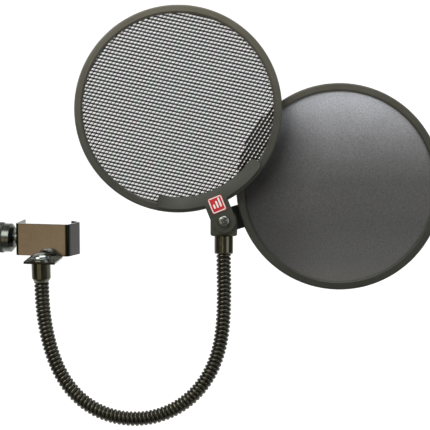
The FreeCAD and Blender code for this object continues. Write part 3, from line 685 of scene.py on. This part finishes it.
def knurled_head():
    """Straight knurl with rounded crowns, bevelled ends and a shallow dished outer face."""
    teeth, per = 46, 8
    n = teeth * per
    ph = np.arange(n) * 2 * math.pi / n
    x_in, x_out = -42.8, -56.8
    prof = [(x_in, 0.0, 0), (x_in, 10.85, 0), (x_in - 0.35, 11.1, 0), (x_in - 0.9, 11.5, 1), (x_in - 1.3, 11.5, 1),
            (x_out + 2.0, 11.5, 1), (x_out + 1.3, 11.5, 1), (x_out + 0.6, 10.95, 0), (x_out, 10.1, 0),
            (x_out, 7.4, 0), (x_out + 0.5, 6.9, 0), (x_out + 0.55, 0.0, 0)]
    verts, faces = [], []
    for x, r, k in prof:
        cut = 0.42 * np.abs(np.sin(ph * teeth / 2)) if k else 0.0
        rr_ = r - (0.42 if k else 0) + cut if k else np.full(n, r)
        rr_ = np.broadcast_to(rr_, (n,))
        for a, q in zip(ph, rr_):
            verts.append((x, q * math.cos(a), q * math.sin(a)))
    for s in range(len(prof) - 1):
        for k in range(n):
            a, b = s * n + k, s * n + (k + 1) % n
            faces.append((a, b, b + n, a + n))
    return mesh_object("knob_knurled", np.array(verts) / 1000.0, faces, smooth=False)


knob = knurled_head()
give(knob, mats["knob"])
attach(knob, "clamp_screw")
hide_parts("knob_head")

# -------------------------------------------------------- floor and backdrop
FLOOR = -0.50
half, depth0, depth1, rad = 4.0, -3.0, 1.9, 0.9
prof = [(depth0, FLOOR), (depth1, FLOOR)]
for k in range(1, 19):
    t = math.radians(5 * k)
    prof.append((depth1 + rad * math.sin(t), FLOOR + rad * (1 - math.cos(t))))
prof.append((depth1 + rad, FLOOR + rad + 3.0))
bv = [(x, y, z) for y, z in prof for x in (-half, half)]
bf = [(2 * i, 2 * i + 1, 2 * i + 3, 2 * i + 2) for i in range(len(prof) - 1)]
floor = mesh_object("floor", bv, bf)
fm = Mat("pale_floor")
fm.set(Roughness=0.9)
fsep = fm.n("ShaderNodeSeparateXYZ")
fm.l(fm.coord(), fsep.inputs[0])
# painted light: the floor's colour and glow fall off from bright at the back to dim grey at the front
fm.l(fm.ramp(fm.rng(fsep.outputs[1], -0.14, 0.06, 0.0, 1.0), [(0.0, (0.16, 0.16, 0.155)), (1.0, (0.84, 0.84, 0.84))]), fm.b.inputs["Base Color"])
fm.b.inputs["Emission Color"].default_value = (1, 1, 1, 1)
fm.l(fm.rng(fsep.outputs[1], -0.14, 0.06, 0.0, 0.62), fm.b.inputs["Emission Strength"])
floor.data.materials.append(fm.m)


def card(name, centre, facing, w, h, colour, strength):
    """A plain glowing board out of shot, square to the object."""
    c, f = np.array(centre, float), np.array(facing, float)
    f = f / np.linalg.norm(f)
    x = np.cross([0, 0, 1.0], f)
    x /= np.linalg.norm(x)
    y = np.cross(f, x)
    v = [c + x * sx * w / 2 + y * sy * h / 2 for sx, sy in ((-1, -1), (1, -1), (1, 1), (-1, 1))]
    o = mesh_object(name, v, [(0, 1, 2, 3)], smooth=False)
    m = bpy.data.materials.new(name)
    m.use_nodes = True
    m.node_tree.nodes.clear()
    out = m.node_tree.nodes.new("ShaderNodeOutputMaterial")
    em = m.node_tree.nodes.new("ShaderNodeEmission")
    em.inputs[0].default_value = (*colour, 1)
    em.inputs[1].default_value = strength
    m.node_tree.links.new(em.outputs[0], out.inputs[0])
    o.data.materials.append(m)
    o.visible_camera = False
    return o


web = np.array([-0.0105, -0.0122, 0.0])
d = XC * -0.445 + YC * -0.843 + ZC * -0.277
card("brown_board", web + d * 0.55, -d, 0.30, 0.22, (1.0, 0.76, 0.50), 1.25)


mid = np.array([0.05, 0.0, -0.05])
d2 = XC * -0.16 + YC * -0.96 + ZC * -0.10
card("warm_strip", mid + d2 * 0.85, -d2, 0.10, 0.55, (1.0, 0.93, 0.78), 2.2)


def area(name, direction, dist, w, h, watts, colour=(1, 1, 1), target=(0.06, 0.0, 0.0)):
    light = bpy.data.lights.new(name, "AREA")
    light.shape = "RECTANGLE"
    light.size, light.size_y = w, h
    light.energy = watts
    light.color = colour
    o = bpy.data.objects.new(name, light)
    bpy.context.scene.collection.objects.link(o)
    dv = np.array(direction, float)
    dv /= np.linalg.norm(dv)
    o.location = Vector(np.array(target) + dv * dist)
    o.rotation_mode = "QUATERNION"
    o.rotation_quaternion = Vector(-dv).to_track_quat("-Z", "Y")
    o.visible_camera = False
    return o


area("key", XC * -0.55 + YC * -0.75 + ZC * 0.55, 1.5, 0.9, 0.9, 16.0, (1.0, 0.99, 0.97))
area("top", XC * 0.15 + YC * -0.15 + ZC * 1.0, 1.3, 1.0, 1.0, 12.0)
area("fill", XC * 0.8 + YC * -0.7 + ZC * 0.15, 1.6, 0.8, 1.2, 5.0)

world = bpy.data.worlds.new("studio")
bpy.context.scene.world = world
world.use_nodes = True
wt = world.node_tree
wt.nodes.clear()
wo = wt.nodes.new("ShaderNodeOutputWorld")
wb = wt.nodes.new("ShaderNodeBackground")
tc = wt.nodes.new("ShaderNodeTexCoord")
dot = wt.nodes.new("ShaderNodeVectorMath")
dot.operation = "DOT_PRODUCT"
dot.inputs[1].default_value = tuple(YC)
wr = wt.nodes.new("ShaderNodeValToRGB")
mr = wt.nodes.new("ShaderNodeMapRange")
mr.inputs[1].default_value, mr.inputs[2].default_value = -1.0, 1.0
el = wr.color_ramp.elements
el[0].position, el[0].color = 0.58, (0.17, 0.17, 0.165, 1)
el[1].position, el[1].color = 0.86, (0.95, 0.95, 0.95, 1)
wt.links.new(tc.outputs["Generated"], dot.inputs[0])
wt.links.new(dot.outputs["Value"], mr.inputs[0])
wt.links.new(mr.outputs[0], wr.inputs[0])
wt.links.new(wr.outputs[0], wb.inputs[0])
wb.inputs[1].default_value = 1.0
wt.links.new(wb.outputs[0], wo.inputs[0])

# ------------------------------------------------------------------- camera
cam = bpy.data.cameras.new("camera")
cam.sensor_width = 36.0
cam.lens = 36.0 * 1500.0 / 322.5
cam.clip_start, cam.clip_end = 0.05, 50.0
co = bpy.data.objects.new("camera", cam)
bpy.context.scene.collection.objects.link(co)
R = Matrix((tuple(XC), tuple(ZC), tuple(-YC))).transposed()
co.matrix_world = Matrix.Translation(Vector(cam_to_row(0, -1500.0, 0) / 1000.0)) @ R.to_4x4()
bpy.context.scene.camera = co
bpy.context.scene.view_settings.view_transform = "Standard"
bpy.context.scene.view_settings.look = "None"
